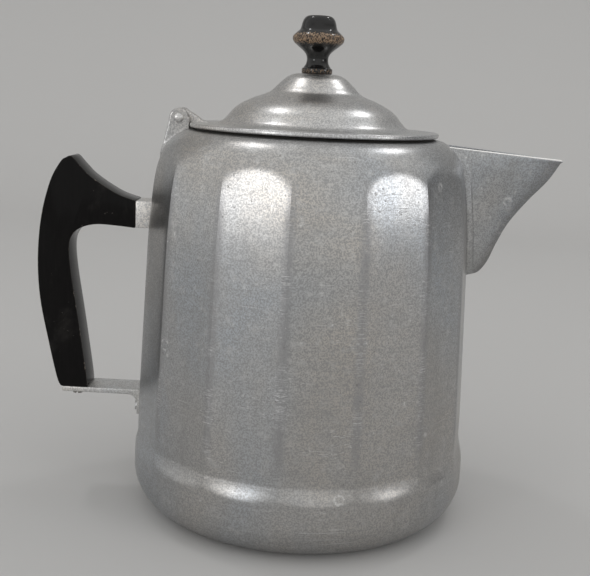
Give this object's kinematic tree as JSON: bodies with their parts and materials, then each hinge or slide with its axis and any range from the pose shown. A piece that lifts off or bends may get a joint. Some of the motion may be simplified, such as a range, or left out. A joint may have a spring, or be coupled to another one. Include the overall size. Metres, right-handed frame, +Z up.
{
  "type": "coffee percolator",
  "caption": "Stovetop percolator with a panelled metal pot, hinged domed lid, open pouring spout, black slab handle, pump stem and perforated coffee basket.",
  "frame": {"origin": "centre of the pot's flat bottom, on the pot's axis", "axes": "+X towards the spout, -X towards the handle, +Z up; the hinge pin lies along Y"},
  "size_m": [0.2374, 0.156, 0.2252],
  "materials": {
    "cast_pot": "worn satin, fine scratches and stains",
    "cast_spout": "worn satin",
    "cast_lid": "worn satin, turned",
    "bracket_metal": "satin",
    "fastener": "polished",
    "dull_steel": "dull, darkened",
    "black_wood": "black gloss paint with worn edges",
    "knob_wood": "black gloss paint with a worn brown band",
    "seal_rubber": "matte",
    "spun_aluminium": "bright spun",
    "basket_metal": "bright stamped"
  },
  "bodies": {
    "pot": {"pot_body": "cast_pot", "spout": "cast_spout", "handle_bracket": "bracket_metal", "bracket_rivets": "fastener", "handle_spacer": "bracket_metal", "handle_grip": "black_wood", "upper_screw": "fastener", "upper_seal": "seal_rubber", "lower_screw": "dull_steel", "lower_washer": "dull_steel", "hinge_pin": "fastener"},
    "lid": {"lid": "cast_lid", "knob": "knob_wood", "knob_screw": "fastener", "knob_washer": "fastener"},
    "pump": {"pump_tube": "spun_aluminium", "pump_foot": "spun_aluminium", "valve_cage": "spun_aluminium", "basket_stop": "spun_aluminium"},
    "valve": {"valve_disc": "spun_aluminium"},
    "basket": {"coffee_basket": "basket_metal", "basket_sleeve": "basket_metal"},
    "basket_lid": {"basket_lid": "basket_metal"}
  },
  "joints": [
    {"name": "lid_hinge", "type": "hinge", "parent": "pot", "child": "lid", "pos_m": [-0.0604, 0, 0.178], "axis": [0, -1, 0], "range_deg": [0, 105]},
    {"name": "pump_lift", "type": "slide", "parent": "pot", "child": "pump", "axis": [0, 0, 1], "range_m": [0, 0.009]},
    {"name": "valve_lift", "type": "slide", "parent": "pump", "child": "valve", "axis": [0, 0, 1], "range_m": [0, 0.0024]},
    {"name": "basket_lift", "type": "slide", "parent": "pump", "child": "basket", "axis": [0, 0, 1], "range_m": [0, 0.008]},
    {"name": "basket_lid_lift", "type": "slide", "parent": "basket", "child": "basket_lid", "axis": [0, 0, 1], "range_m": [0, 0.005]}
  ]
}
